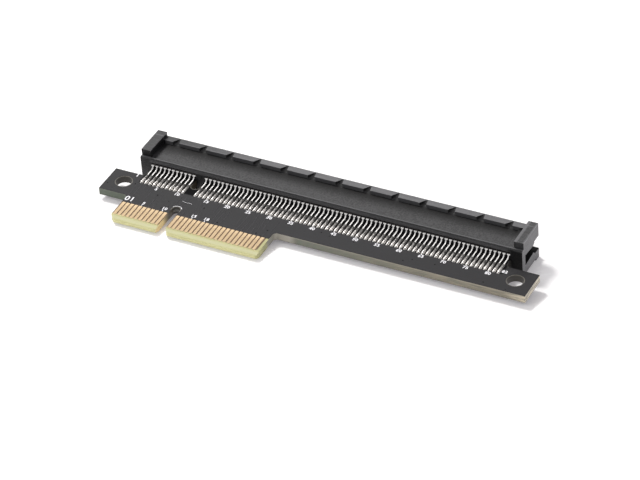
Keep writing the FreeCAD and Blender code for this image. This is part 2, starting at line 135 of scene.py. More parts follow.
class PrintSizes(bpy.types.PropertyGroup):
    """Sizes of the printed numbers and marks."""
    digit: length("Digit height", "Height of a printed digit", 0.84)
    first: length("First mark", "Height of the mark beside the first finger", 1.5)
    pin_mark: length("Pin mark", "Height of the mark beside the first contact", 1.35)
    stroke: length("Stroke", "Width of the printed lines", 0.17)
    bold: length("Bold", "Outline added round each digit", 0.035)
    lift: length("Lift", "Print above the solder mask", 0.012)
    tone: colour("Colour", "Colour of the print", (0.92, 0.92, 0.95))


class Finishes(bpy.types.PropertyGroup):
    """Base colours of the card's materials."""
    mask: colour("Solder mask", "Black solder mask", (0.0100, 0.0096, 0.0112))
    plastic: colour("Connector", "Moulded connector", (0.0125, 0.0125, 0.013))
    bevel: colour("Bevel", "Bare laminate on the bevelled tips", (0.50, 0.485, 0.213))
    gap: colour("Finger gap", "Bare laminate between the fingers", (0.11, 0.056, 0.012))
    edge: colour("Edge", "Cut edge of the laminate", (0.12, 0.138, 0.103))
    bore: colour("Bore", "Walls of the mounting holes", (0.045, 0.042, 0.034))
    gold: colour("Gold", "Plating of the edge fingers", (0.40, 0.285, 0.152))
    tin: colour("Tin", "Plating of the contacts", (0.96, 0.95, 0.93))
    # Also painted shade: on the stamped sides and on the strip just inside the connector.
    stamped: colour("Stamped", "Bare metal on the contacts' stamped sides", (0.07, 0.055, 0.045))
    solder: colour("Solder", "Solder joints", (0.93, 0.90, 0.86))
    rim: colour("Rim", "Bare rims of the mask at the keyway and the tongues", (0.17, 0.16, 0.14))


class BoardTones(bpy.types.PropertyGroup):
    """Colours that lie over the laminate's cut edges, bevels and rings."""
    warm: colour("Warm edge", "Cut edge towards the right end", (0.30, 0.258, 0.185))
    # End face and corner: painted light at the right end.
    end_face: colour("End face", "Cut faces at the right end", (0.92, 0.82, 0.65))
    corner: colour("Corner", "Cut edge at the right corner", (0.85, 0.74, 0.56))
    ply: colour("Ply", "Dark plies of the cut edge", (0.13, 0.13, 0.10))
    # Painted highlight along the top of the cut edge.
    top_line: colour("Top line", "Light line along the top of the cut edge", (0.46, 0.42, 0.33))
    shaded: colour("Shaded edge", "Cut edge under the connector", (0.012, 0.011, 0.009))
    step: colour("Step", "Cut edge beside the second finger block", (0.34, 0.32, 0.27))
    green: colour("Green edge", "Cut edge at the left end", (0.060, 0.084, 0.056))
    # Notch: painted shade; notch band: painted light.
    notch: colour("Notch", "Round end of the keyway", (0.035, 0.032, 0.028))
    notch_band: colour("Notch band", "Middle of the keyway's round end", (0.17, 0.17, 0.16))
    notch_line: colour("Notch line", "Light line low in the keyway's round end", (0.6, 0.58, 0.54))
    keyway: colour("Keyway", "Sides of the keyway towards the tips", (0.85, 0.70, 0.38))
    keyway_end: colour("Keyway end", "Sides of the keyway further in", (0.08, 0.065, 0.04))
    # Painted highlight along the bevels.
    stripe: colour("Stripe", "Stripe along the middle of the bevels", (0.51, 0.50, 0.27))
    tip: colour("Tip", "Blunt face of the tips", (0.66, 0.63, 0.31))
    ring: colour("Ring", "Bare rings round the mounting holes", (0.13, 0.122, 0.10))


class StageSettings(bpy.types.PropertyGroup):
    """Floor, lights and camera."""
    floor_size: FloatProperty(name="Floor size", description="Side of the floor", default=6.0,
                              min=0.5, unit="LENGTH", subtype="DISTANCE")
    floor_tone: FloatProperty(name="Floor tone", description="How much light the floor gives back",
                              default=0.88, min=0.0, max=1.0, subtype="FACTOR")
    glow: FloatProperty(name="Glow", description="Light added to the floor as the camera sees it",
                        default=0.19, min=0.0)
    mirror_glow: FloatProperty(name="Mirror glow", description="Light added to the floor in reflections",
                               default=0.9, min=0.0)
    rest_front: FloatProperty(name="Front rest", description="Y of the line where the fingertips touch",
                              default=-10.87 * MM, precision=5, unit="LENGTH", subtype="DISTANCE")
    rest_back: FloatProperty(name="Back rest", description="Y of the connector's lower front edge",
                             default=6.35 * MM, precision=5, unit="LENGTH", subtype="DISTANCE")
    camera_place: FloatVectorProperty(name="Camera", description="Place of the camera", size=3,
                                      default=(0.267583, -0.477406, 0.413861), subtype="TRANSLATION")
    camera_aim: FloatVectorProperty(name="Aim", description="Point at the picture's centre", size=3,
                                    default=(0.00210, -0.00180, 0.0), subtype="TRANSLATION")
    camera_roll: FloatProperty(name="Roll", description="Turn of the camera about its axis",
                               default=math.radians(-4.36), subtype="ANGLE")
    lens: FloatProperty(name="Lens", description="Focal length", default=185.82, unit="CAMERA")
    sensor: FloatProperty(name="Sensor", description="Width of the camera's sensor", default=36.0,
                          unit="CAMERA")
    sky: FloatProperty(name="Sky", description="Strength of the even light", default=0.36, min=0.0)
    key: FloatProperty(name="Key", description="Power of the key lamp", default=15.0, unit="POWER")
    front: FloatProperty(name="Front", description="Power of the wide front lamp", default=2.4,
                         unit="POWER")
    back: FloatProperty(name="Back", description="Power of the wide back lamp", default=2.1,
                        unit="POWER")
    fill: FloatProperty(name="Fill", description="Power of the fill lamp", default=1.7, unit="POWER")


class Term:
    """A shader socket that takes part in Python arithmetic: each operator adds its Math node."""

    def __init__(self, finish, socket):
        self.finish, self.socket = finish, socket

    def math(self, operation, *terms):
        """This term and any others through one Math node."""
        return self.finish.math(operation, self, *terms)

    def __add__(self, other):
        return self.math("ADD", other)

    def __radd__(self, other):
        return self.math("ADD", other)

    def __sub__(self, other):
        return self.math("SUBTRACT", other)

    def __rsub__(self, other):
        return self.finish.math("SUBTRACT", other, self)

    def __mul__(self, other):
        return self.math("MULTIPLY", other)

    def __rmul__(self, other):
        return self.math("MULTIPLY", other)

    def __abs__(self):
        return self.math("ABSOLUTE")

    def fraction(self):
        """The part after the point, from 0 to 1."""
        return self.math("FRACT")

    def at_least(self, other):
        return self.math("MAXIMUM", other)

    def at_most(self, other):
        return self.math("MINIMUM", other)

    def step(self, low, high):
        """0 below low, 1 above high, smooth between. low may be above high for a falling step."""
        return self.finish.output(
            "ShaderNodeMapRange", {"interpolation_type": "SMOOTHSTEP"},
            {"Value": self, "From Min": low, "From Max": high}, "Result")


def scaled(tone, factor, lift=0.0):
    """A colour times a factor plus a lift, and no channel over 1."""
    return tuple(min(1.0, factor * part + lift) for part in tone)


def distance(across, along):
    """Length of two offsets at right angles: the square root of the sum of their squares."""
    return (across * across + along * along).math("SQRT")


class Shader:
    """The node tree of a material or of the world under construction."""

    def __init__(self, owner):
        owner.use_nodes = True
        self.tree = owner.node_tree
        self.tree.nodes.clear()

    def node(self, kind, settings=None, inputs=None):
        """Any node, from its type, its settings and the values or links of its sockets."""
        made = self.tree.nodes.new(kind)
        for key, setting in (settings or {}).items():
            setattr(made, key, setting)
        for key, given in (inputs or {}).items():
            socket = made.inputs[key]
            if isinstance(given, Term):
                given = given.socket
            if isinstance(given, bpy.types.NodeSocket):
                self.tree.links.new(given, socket)
            else:
                socket.default_value = given
        return made

    def mix_shaders(self, factor, first, second):
        """The first shader at 0, the second at 1."""
        return self.node("ShaderNodeMixShader", None,
                         {0: factor, 1: first.outputs[0], 2: second.outputs[0]})


class Finish(Shader):
    """One material of the card, with the places on it in millimetres."""

    def __init__(self, name):
        self.material = bpy.data.materials.new(name)
        super().__init__(self.material)
        self.place = self.node("ShaderNodeTexCoord").outputs["Object"]
        split = self.node("ShaderNodeSeparateXYZ", None, {"Vector": self.place})
        self.x, self.y, self.z = (Term(self, split.outputs[axis]) * (1 / MM) for axis in "XYZ")

    def output(self, kind, settings, inputs, output):
        """One output of a new node, as a term."""
        return Term(self, self.node(kind, settings, inputs).outputs[output])

    def math(self, operation, *terms):
        """A Math node over terms and numbers, in the order of its sockets."""
        return self.output("ShaderNodeMath", {"operation": operation}, dict(enumerate(terms)), 0)

    def noise(self, size, detail, stretch=(1, 1, 1)):
        """Noise from 0 to 1 whose grains are about size millimetres, stretched along the axes."""
        grains = tuple(1 / (size * MM * share) for share in stretch)
        mapping = self.node("ShaderNodeMapping", None, {"Vector": self.place, "Scale": grains})
        return self.output("ShaderNodeTexNoise", None,
                           {"Vector": mapping.outputs["Vector"], "Scale": 1.0, "Detail": detail}, "Fac")

    def facing(self, axis):
        """How far the surface faces along an axis, from -1 to 1."""
        split = self.node("ShaderNodeSeparateXYZ", None,
                          {"Vector": self.node("ShaderNodeNewGeometry").outputs["True Normal"]})
        return Term(self, split.outputs[axis])

    def mix(self, factor, first, second):
        """Colour between first and second."""
        first, second = (given if isinstance(given, Term) else tuple(given)[:3] + (1.0,)
                         for given in (first, second))
        made = self.node("ShaderNodeMix", {"data_type": "RGBA"}, {0: factor, 6: first, 7: second})
        return Term(self, made.outputs[2])

    def bump(self, height, depth):
        """Bump from a height of 0 to 1 over a depth in millimetres."""
        made = self.node("ShaderNodeBump", None, {"Height": height, "Distance": depth * MM})
        return made.outputs["Normal"]

    def surface(self, **inputs):
        """Closes the material with one Principled surface."""
        names = {name.replace("_", " "): given for name, given in inputs.items()}
        shader = self.node("ShaderNodeBsdfPrincipled", None, names)
        self.node("ShaderNodeOutputMaterial", None, {"Surface": shader.outputs[0]})
        return self.material


def moulded_plastic(tones):
    """Glass-filled dark plastic: fine grain, pale flecks, faint flow mottling, matte.

    The deck has painted light towards its front and painted shade towards the pads; the pads' tops,
    the ridge, the ends and the posts have painted highlights, and the faces that little light reaches
    have painted shade.
    """
    finish = Finish("moulded_plastic")
    grain, flow = finish.noise(0.34, 3.0), finish.noise(4.0, 2.0, (2.5, 1, 1))
    streak = finish.noise(0.5, 2.0, (6, 0.7, 1))
    fleck = finish.noise(0.4, 1.0).step(0.68, 0.74)
    speck = (0.75 * grain + 0.25 * flow).step(0.38, 0.62)
    light, dark, pale, highlight_and_wear_tone, edge_highlight_tone, painted_shade = (
        scaled(tones.plastic, factor) for factor in (1.75, 0.33, 4.1, 10.2, 30.0, 0.3))
    x, y, high, side = finish.x, finish.y, abs(finish.z), finish.facing("X")
    up, end = finish.facing("Z").step(0.9, 1.0), side.step(0.9, 1.0)
    front = (finish.facing("Y") * -1).step(0.9, 1.0)
    deck = up * high.step(DECK_BELOW + 0.1, DECK_BELOW)
    pads = high.step(PADS_ABOVE, PADS_ABOVE + 0.1)
    left_post, right_post = x.step(-POST_X, -POST_X - 0.6), x.step(POST_X, POST_X + 0.6)

    # Grain, painted light on the deck towards its front, and flecks.
    base = finish.mix(speck, dark, light)
    base = finish.mix(deck * y.step(12.6, 8.0) * (0.35 + 0.65 * speck), base, pale)
    base = finish.mix(0.8 * fleck, base, pale)

    # Painted highlights on the pads' tops (stronger to the right, faint on the right post), the rim's
    # lip, the ridge, the right end, the upper band of the front face and the top edge of the right post,
    # which also has real flecks.
    tops = pads * up * (0.42 + 0.55 * streak) * (0.4 + x.step(-44.0, -15.0))
    tops = tops * x.step(43.0, 42.4).at_least(0.12)
    post_top_highlight_and_flecks = up * high.step(POSTS_ABOVE, POSTS_ABOVE + 0.1) * right_post
    post_top_highlight_and_flecks = post_top_highlight_and_flecks * (1.2 * x.step(43.95, 44.1) + fleck + 0.3 * streak).at_most(1.0)
    lip = pads * y.step(13.35, 13.1) * y.step(12.9, 13.0)
    ridge = deck * high.step(3.0, 3.2) * y.step(7.0, 6.8)
    ends = end * x.step(43.0, 43.5)
    rim = 0.5 * front * high.step(2.2, 2.5) * x.step(41.5, 40.5) * x.step(-43.0, -42.0)
    highlight_and_wear = tops + 0.5 * lip + 0.6 * ridge + ends + rim + post_top_highlight_and_flecks
    base = finish.mix(highlight_and_wear.at_most(1.0), base, highlight_and_wear_tone)
    # Painted highlight along the top of the end faces.
    post_edge = end * high.step(4.45, 4.7) * (0.4 + 0.6 * speck)
    base = finish.mix(0.6 * post_edge, base, edge_highlight_tone)

    # Painted shade where little light reaches (beside the last contact, inside the mouth, at the back of
    # the deck), painted shade on the left post's front and painted light on the right post's front.
    corner = front * x.step(41.4, 41.9) * high.step(3.4, 3.3)
    inside = high.step(2.4, 2.3) * y.step(6.5, 7.5) * abs(side).step(0.5, 0.1)
    dim = (corner + inside).at_most(1.0)
    base = finish.mix((dim + 0.6 * deck * y.step(9.5, 12.4)).at_most(1.0), base, painted_shade)
    post_front = front * high.step(2.7, 3.0)
    base = finish.mix(0.9 * post_front * left_post, base, painted_shade)
    base = finish.mix(0.5 * post_front * right_post, base, pale)
    matte = (0.34 + 0.14 * flow + 0.26 * grain + 0.2 * deck * y.step(9.0, 12.6)).at_least(dim)
    return finish.surface(Base_Color=base, Roughness=matte, Specular_IOR_Level=0.31,
                          Normal=finish.bump(grain, 0.09))


def black_mask(tones):
    """Black solder mask: faint raised traces, small vias, bare rims at the keyway and the tongues, and
    painted shade under the contacts.
    """
    finish = Finish("black_solder_mask")
    x, y = finish.x, finish.y
    wander, fine = finish.noise(9.0, 1.0), finish.noise(0.25, 2.0)
    lane = abs((x + 1.4 * wander).fraction() - 0.5).step(0.13, 0.09)
    field = x.step(-7.0, -9.0) * x.step(-43.0, -42.0) * y.step(-6.4, -6.2) * y.step(0.6, 0.2)
    broken = finish.noise(1.6, 1.0, (0.7, 4, 1)).step(0.42, 0.56)
    trace = lane * field * broken
    via_spacing = 1.7 * MM
    cells = finish.output("ShaderNodeTexVoronoi", None,
                          {"Vector": finish.place, "Scale": 1 / via_spacing}, "Distance")
    via = cells.step(0.115, 0.085) * y.step(0.6, 0.2)
    keyway = distance(x - NOTCH_X, y - NOTCH_Y).step(NOTCH_RADIUS + 0.22, NOTCH_RADIUS + 0.12)
    tongues = distance(x - NOTCH_X, y - TONGUE_GAP_Y).step(NOTCH_RADIUS + 0.3, NOTCH_RADIUS + 0.15)
    # Painted shade on the mask under the contacts.
    under = y.step(0.5, 1.1) * x.step(-42.7, -42.2) * x.step(42.5, 42.0)
    base = finish.mix(0.7 * trace + 0.15 * wander, tones.mask, scaled(tones.mask, 2.6))
    base = finish.mix(0.9 * via, base, scaled(tones.mask, 0.15))
    base = finish.mix(0.8 * keyway, base, tones.rim)
    base = finish.mix(under, base, scaled(tones.mask, 0.2))
    base = finish.mix(0.45 * tongues, base, tones.rim)
    return finish.surface(Base_Color=base, Roughness=(0.46 + 0.1 * fine).at_least(via).at_least(under),
                          Specular_IOR_Level=0.225,
                          Normal=finish.bump(trace + 0.25 * fine - 0.5 * via, 0.025))


def laminate(tones, board):
    """Glass-epoxy board: pale bevels, amber between the fingers, layered cut edges, dark bores, and
    painted light, shade and highlights on the edges, the keyway's end and the bevels.
    """
    finish = Finish("glass_epoxy")
    x, y, z, side = finish.x, finish.y, finish.z, finish.facing("X")
    layers, fibre = finish.noise(0.5, 3.0, (8, 8, 0.35)), finish.noise(0.35, 3.0)
    up = abs(finish.facing("Z"))
    flat, sloped = up.step(0.97, 0.995), up.step(0.2, 0.3)
    tips, bared = y.step(-7.0, -10.0), scaled(tones.bevel, 0.8)
    pale = finish.mix(fibre.step(0.3, 0.7), scaled(tones.bevel, 0.88), tones.bevel)

    # Cut edge: green at the left, warm to the right, with painted light on the right end faces and
    # corner, plies, a painted highlight along its top and the shade under the connector.
    edge = finish.mix(x.step(-8.0, 40.0), tones.edge, board.warm)
    # Painted light on the right end faces and on the edge at the right corner.
    edge = finish.mix(side.step(0.8, 1.0) * x.step(20.0, 40.0), edge, board.end_face)
    edge = finish.mix(x.step(44.0, 49.3) * side.step(0.2, 0.0), edge, board.corner)
    cut = finish.mix(layers.step(0.3, 0.7), edge, board.ply)
    # Painted highlight along the top of the cut edge.
    cut = finish.mix(0.35 * z.step(0.5, 0.7), cut, board.top_line)
    cut = finish.mix(y.step(3.6, 3.7), cut, board.shaded)
    cut = finish.mix(x.step(-8.0, -7.0) * x.step(-2.0, -4.0) * y.step(-8.2, -7.0), cut, board.step)
    cut = finish.mix(0.75 * x.step(-41.0, -43.0), cut, board.green)
    block_side = x.step(-9.0, -8.4) * x.step(-7.0, -7.6) * y.step(-6.9, -7.8)
    cut = finish.mix(tips.at_least(block_side), cut, pale)

    # Keyway: its round end with painted shade, a band of painted light and a light line, then its two
    # sides.
    near = distance(x - NOTCH_X, y - NOTCH_Y).step(NOTCH_RADIUS + 0.1, NOTCH_RADIUS + 0.05)
    notch = near * y.step(-5.2, -4.8)
    # Painted shade on the keyway's round end, with a band of painted light across its middle.
    band = finish.mix(abs(z + 0.05).step(0.35, 0.25), board.notch, board.notch_band)
    cut = finish.mix(notch, cut, band)
    line = notch * abs(z + 0.4).step(0.12, 0.04) * x.step(-30.4, -29.9)
    cut = finish.mix(line, cut, board.notch_line)
    keyway = abs(side).step(0.9, 1.0) * x.step(-20.0, -25.0)
    cut = finish.mix(keyway * y.step(-6.0, -7.5), cut, board.keyway)
    cut = finish.mix(0.8 * keyway * y.step(-9.2, -6.8), cut, board.keyway_end)

    # Faces between the fingers, bevels with a stripe of painted highlight, blunt tips, and the holes.
    amber = finish.mix(y.step(-10.2, -11.0), tones.gap, bared)
    fingers = flat * y.step(-5.9, -6.1)
    base = finish.mix(fingers, cut, amber)
    base = finish.mix(fingers * x.step(-8.05, -7.95), base, bared)
    bevels = sloped * (1 - flat)
    base = finish.mix(bevels, base, pale)
    # Painted highlight stripe along the middle of the bevels.
    base = finish.mix(bevels * y.step(-11.0, -11.4) * y.step(-12.0, -11.7), base, board.stripe)
    base = finish.mix((finish.facing("Y") * -1).step(0.9, 1.0) * tips, base, board.tip)
    hole = distance(abs(x) - HOLE_X, y)
    bore = hole.step(HOLE_RADIUS + 0.1, HOLE_RADIUS + 0.05) * (1 - sloped)
    base = finish.mix(bore, base, tones.bore)
    base = finish.mix(hole.step(HOLE_RADIUS + 0.3, HOLE_RADIUS + 0.25) * flat, base, board.ring)
    return finish.surface(Base_Color=base, Roughness=0.45 + 0.2 * layers,
                          Normal=finish.bump(layers, 0.03))


def gold_plating(tones):
    """Gold over nickel on the fingers: satin, with light wear along the length, and paler inwards as a
    painted highlight.
    """
    finish = Finish("gold_plating")
    highlight_and_wear = finish.noise(0.5, 3.0, (0.5, 5, 1))
    highlight_and_wear_tone = scaled(tones.gold, 1.1, 0.03)
    base = finish.mix(highlight_and_wear.step(0.35, 0.75), tones.gold, highlight_and_wear_tone)
    # Painted highlight on the fingers' inner ends.
    base = finish.mix(finish.y.step(-8.2, -6.6), base, scaled(highlight_and_wear_tone, 1.12))
    return finish.surface(Base_Color=base, Metallic=0.35, Roughness=0.38 + 0.12 * highlight_and_wear)


def tin_plating(tones):
    """Matte tin on the contacts, dark on the stamped sides as bare metal and as painted shade, and
    painted shade just inside the connector.
    """
    finish = Finish("tin_plating")
    skin = finish.noise(0.6, 3.0, (1, 3, 3))
    # Painted shade on the strip just inside the connector's face; the stamped sides are dark as bare
    # metal and as painted shade.
    inside = finish.y.step(6.28, 6.38) * finish.y.step(7.4, 7.0)
    dark = abs(finish.facing("X")).step(0.6, 0.9).at_least(inside)
    base = finish.mix(skin.step(0.3, 0.75), tones.tin, scaled(tones.tin, 0.85))
    base = finish.mix(dark, base, tones.stamped)
    return finish.surface(Base_Color=base, Metallic=0.15, Roughness=0.36 + 0.2 * skin)


def solder_metal(tones):
    """Solder: bright over the foot's tip with bands of painted shade on its right half, and behind it a
    painted reflection of the dark connector with dark specks.
    """
    finish = Finish("solder")
    x, y = finish.x, finish.y
    ripple, patch = finish.noise(0.22, 2.0), finish.noise(0.32, 2.0)
    # Bands of painted shade on the right half of each joint's tip, with dark specks.
    across = (x + 0.25).fraction() - 0.5
    right_side_shade = ((y - 0.05 + 0.2 * patch) * 1.9).fraction().step(0.55, 0.7) * across.step(-0.1, 0.02)
    marks = 0.85 * right_side_shade + 0.15 * patch.step(0.58, 0.66)
    bright = finish.mix(marks, tones.solder, scaled(tones.solder, 0.2))
    # Behind the tip, a painted reflection of the dark connector, with dark specks.
    painted_shade = finish.mix(patch.step(0.35, 0.65), scaled(tones.solder, 0.40), scaled(tones.solder, 0.11))
    base = finish.mix((y + 0.5 * patch).step(2.4, 2.6), bright, painted_shade)
    return finish.surface(Base_Color=base, Metallic=0.6, Roughness=0.3 + 0.2 * ripple,
                          Normal=finish.bump(ripple, 0.05))


def print_ink(tone):
    """White ink of the printed numbers."""
    finish = Finish("print_ink")
    base = finish.mix(finish.noise(0.12, 2.0).step(0.25, 0.6), scaled(tone, 0.8), tone)
    return finish.surface(Base_Color=base, Roughness=0.6)


def add_piece(name, points, faces, material, smooth=False):
    """A mesh object from an array of points and a list of faces, riding on the card."""
    mesh = bpy.data.meshes.new(name)
    mesh.from_pydata(points.reshape(-1, 3).tolist(), [], faces)
    mesh.materials.append(material)
    mesh.polygons.foreach_set("use_smooth", [smooth] * len(mesh.polygons))
    mesh.validate()
    piece = bpy.data.objects.new(name, mesh)
    bpy.context.scene.collection.objects.link(piece)
    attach(piece, BODY)
    return piece


def bank_places(node, width, pitch):
    """X of each contact or finger of one node, from its box: first centre, then one pitch each."""
    low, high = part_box(node)
    count = int(round((high[0] - low[0] - width) / pitch)) + 1
    return low[0] + width / 2 + pitch * np.arange(count)


def rounded_path(knees, radii):
    """Points of an open path in a plane, with an arc of its own radius at each inner knee.

    The arc touches both runs at radius * tan(half the turn) from the knee, and its points are the
    centre plus the radius turned evenly from one touch point to the other.
    """
    knees = np.asarray(knees, float)
    points = [knees[0]]
    for before, here, after, radius in zip(knees, knees[1:], knees[2:], radii):
        arrive = (here - before) / np.linalg.norm(here - before)
        leave = (after - here) / np.linalg.norm(after - here)
        turn = math.atan2(arrive[0] * leave[1] - arrive[1] * leave[0], float(arrive @ leave))
        start = here - arrive * radius * math.tan(abs(turn) / 2)
        inward = np.array([-arrive[1], arrive[0]]) * math.copysign(1.0, turn)
        centre = start + inward * radius
        angles = np.linspace(0.0, turn, ARC_STEPS + 1)[:, None]
        spoke = -inward * radius
        points.extend(centre + spoke * np.cos(angles)
                      + np.array([-spoke[1], spoke[0]]) * np.sin(angles))
    points.append(knees[-1])
    return np.array(points)


def swept_strip(path, widths, thickness):
    """Rectangle swept along a path in the YZ plane: points (stations, 4, 3), sides and two ends.

    At each station the section's corners lie half a width to either side along X, and half a
    thickness to either side along the path's normal, which is its tangent turned a quarter.
    """
    tangent = np.gradient(path, axis=0)
    tangent /= np.linalg.norm(tangent, axis=1)[:, None]
    normal = np.stack([-tangent[:, 1], tangent[:, 0]], axis=1) * thickness / 2
    across, lift = np.array([-1, 1, 1, -1]) / 2, np.array([-1, -1, 1, 1])
    points = np.empty((len(path), 4, 3))
    points[..., 0] = widths[:, None] * across
    points[..., 1:] = path[:, None, :] + normal[:, None, :] * lift[None, :, None]
    station, corner = np.meshgrid(np.arange(len(path) - 1), np.arange(4), indexing="ij")
    following = (corner + 1) % 4
    sides = np.stack([station * 4 + corner, station * 4 + 4 + corner,
                      station * 4 + 4 + following, station * 4 + following], axis=-1).reshape(-1, 4)
    last = 4 * (len(path) - 1)
    caps = np.array([[0, 1, 2, 3], [last + 3, last + 2, last + 1, last]])
    return points, np.concatenate([sides, caps])


def repeated(points, faces, places):
    """The same shape once at each X place: points and faces of all copies."""
    points = points.reshape(-1, 3)
    shift = np.zeros((len(places), 1, 3))
    shift[:, 0, 0] = places
    copies = (points[None] + shift).reshape(-1, 3)
    faces = faces[None] + (np.arange(len(places)) * len(points))[:, None, None]
    return copies, faces.reshape(-1, faces.shape[-1])


def mirrored(points, faces, sign):
    """Turned over to the lower side where sign is negative, with the faces kept outwards."""
    if sign < 0:
        points = points * np.array([1.0, 1.0, -1.0])
        faces = faces[:, ::-1]
    return points, faces


class RISER_OT_contacts(bpy.types.Operator):
    """Form each contact with round bends, stop shoulders and a hooked tip"""
    bl_idname = "riser.contacts"
    bl_label = "Contacts"

    def execute(self, context):
        sizes = context.scene.riser_contacts
        material = tin_plating(context.scene.riser_finishes)
        half = sizes.thickness / 2
        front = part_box("connector_housing")[0][1]
        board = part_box("solder_mask_upper")[1][2]
        for side, sign in SIDES.items():
            for bank in SLOT_BANKS:
                node = "contacts_%s_%s" % (side, bank)
                low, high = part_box(node)
                face, roof = sorted([abs(low[2]), abs(high[2])])
                heel = low[1] + sizes.foot
                top = front - sizes.standoff
                outlet = roof - half - sizes.drop
                point = high[1] - sizes.lead_in * sizes.hook
                knees = [(low[1], board + half), (heel, board + half), (top, outlet),
                         (top + 0.5 * sizes.entry, outlet), (top + sizes.entry, roof - half),
                         (point, face + half), (high[1], face + half + sizes.hook)]
                path = rounded_path(knees, [sizes.sweep] + 4 * [sizes.bend])
                path, widths = self.widths(path, front, sizes, context.scene.riser_solder)
                points, faces = swept_strip(path, widths, sizes.thickness)
                points, faces = repeated(points, faces, bank_places(node, sizes.width, sizes.pitch))
                points, faces = mirrored(points, faces, sign)
                piece = add_piece("formed_" + node, points, faces.tolist(), material)
                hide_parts(node)
        return {"FINISHED"}

    def widths(self, path, front, sizes, solder):
        """Width over the length s along the strip: foot, neck, shoulders, waist, full strip.

        The width is linear between the knots, and every knot gets its own station on the path. The
        shoulders end at the s where the strip passes the connector's face, and their knots count
        back from it. The waist behind them is as narrow as the neck, so that they stand clear.
        """
        run = np.concatenate([[0.0], np.cumsum(np.linalg.norm(np.diff(path, axis=0), axis=1))])
        wall = float(np.interp(front, path[:, 0], run))
        lap = solder.length - solder.overhang
        stop = wall - sizes.shoulder_length
        flare, narrowing, edge = 0.52 * sizes.shoulder, 0.5 * MM, 0.02 * MM
        knots = [(0.0, sizes.foot_width), (lap - narrowing, sizes.foot_width), (lap, sizes.neck),
                 (stop - sizes.taper, sizes.neck), (stop - 0.5 * sizes.taper, flare),
                 (stop, sizes.shoulder), (wall, sizes.shoulder), (wall + edge, sizes.neck),
                 (wall + sizes.waist, sizes.neck), (wall + 1.2 * sizes.waist, sizes.width),
                 (run[-1], sizes.width)]
        places, values = np.array(knots).T
        stations = np.unique(np.concatenate([run, places]))
        path = np.stack([np.interp(stations, run, path[:, axis]) for axis in (0, 1)], axis=1)
        return path, np.interp(stations, places, values)


class RISER_OT_solder(bpy.types.Operator):
    """Lay a solder joint over each contact's foot"""
    bl_idname = "riser.solder"
    bl_label = "Solder joints"

    def execute(self, context):
        contact, sizes = context.scene.riser_contacts, context.scene.riser_solder
        material = solder_metal(context.scene.riser_finishes)
        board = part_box("solder_mask_upper")[1][2]
        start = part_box("contacts_upper_power")[0][1]
        for side, sign in SIDES.items():
            places = np.concatenate([bank_places("contacts_%s_%s" % (side, bank), contact.width,
                                                 contact.pitch) for bank in SLOT_BANKS])
            points, faces = self.joint(start, board, sizes)
            points, faces = repeated(points, faces, places)
            points, faces = mirrored(points, faces, sign)
            piece = add_piece("solder_" + side, points, faces.tolist(), material, smooth=True)
        return {"FINISHED"}

    def joint(self, start, board, sizes):
        """One joint as a height over its land, with u across it from -1 to 1 and v along it in metres.

        The height is the square root of cos(u pi / 2) times the profile along v: a dome over the
        foot's tip, a dip behind it, an even back that wraps the foot, and a run-out.
        """
        u = np.array([-1.0, -0.9, -0.65, -0.3, 0.0, 0.3, 0.65, 0.9, 1.0])
        toe, back, top, run_out = sizes.toe, sizes.back_height, sizes.height, 0.3 * MM
        profile = [(0.0, 0.0), (0.05 * toe, 0.45 * top), (0.16 * toe, 0.8 * top), (0.36 * toe, top),
                   (0.66 * toe, 0.97 * top), (0.88 * toe, 0.8 * top), (toe, 0.75 * back),
                   (1.12 * toe, back), (sizes.length - run_out, back), (sizes.length, 0.0)]
        v, height = np.array(profile).T
        height = height[:, None] * np.cos(u * math.pi / 2) ** 0.5
        grid = np.empty((len(v), len(u), 3))
        grid[..., 0] = u * sizes.width / 2
        grid[..., 1] = (start - sizes.overhang + v)[:, None]
        grid[..., 2] = board + height
        rows, columns = np.meshgrid(np.arange(len(v) - 1), np.arange(len(u) - 1), indexing="ij")
        first = rows * len(u) + columns
        faces = np.stack([first, first + 1, first + len(u) + 1, first + len(u)], axis=-1)
        return grid, faces.reshape(-1, 4)


